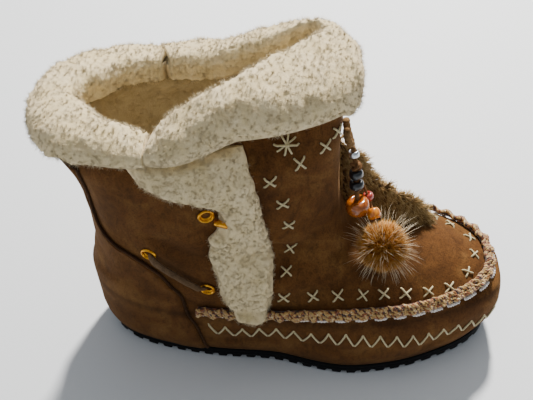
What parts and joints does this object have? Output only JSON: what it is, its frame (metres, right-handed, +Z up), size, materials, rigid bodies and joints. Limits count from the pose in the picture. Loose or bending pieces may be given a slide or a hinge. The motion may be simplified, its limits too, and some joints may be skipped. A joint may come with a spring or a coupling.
{
  "type": "mukluk boot",
  "caption": "Short suede mukluk boot with folded shearling cuffs, braided vamp seam, side lacing and a beaded fur tassel on a low lugged rubber sole.",
  "frame": {"origin": "on the floor under the middle of the heel, on the tread's heel pad", "axes": "+X towards the toe, +Y towards the inner side of the foot, +Z up"},
  "size_m": [0.296, 0.1126, 0.2287],
  "materials": {
    "suede": "tan suede, brushed nap",
    "dark_suede": "dark brown suede, matt",
    "lace": "flat brown suede lace",
    "shearling": "cream curly shearling wool",
    "brown_fur": "brown ticked fur",
    "orange_fur": "orange brown fur with pale guard hairs",
    "yarn": "crocheted mixed yarn, tan, rust, dark and white",
    "stitch": "cream embroidery yarn",
    "rubber": "black moulded rubber, matt",
    "brass": "polished gold brass",
    "silver_bead": "small silver bead",
    "black_bead": "black glass-like bead",
    "amber_bead": "amber resin bead, glossy"
  },
  "bodies": {
    "root": {"outsole": "rubber", "insole": "shearling", "upper": "suede", "heel_counter": "suede", "counter_piping": "dark_suede", "vamp_braid": "yarn", "side_band_lateral": "shearling", "side_band_medial": "shearling", "lace_bar_lateral": "lace", "lace_bar_medial": "lace", "eyelet_lateral_back": "brass", "eyelet_lateral_front": "brass", "eyelet_lateral_top": "brass", "eyelet_medial_back": "brass", "eyelet_medial_front": "brass", "eyelet_medial_top": "brass", "cuff_back": "shearling", "cuff_front": "shearling", "instep_fur": "brown_fur", "hanger_loop": "dark_suede", "tassel_cord": "dark_suede", "bead_silver": "silver_bead", "bead_black_upper": "black_bead", "bead_black_lower": "black_bead", "bead_amber_large": "amber_bead", "pompom": "orange_fur"}
  },
  "joints": []
}
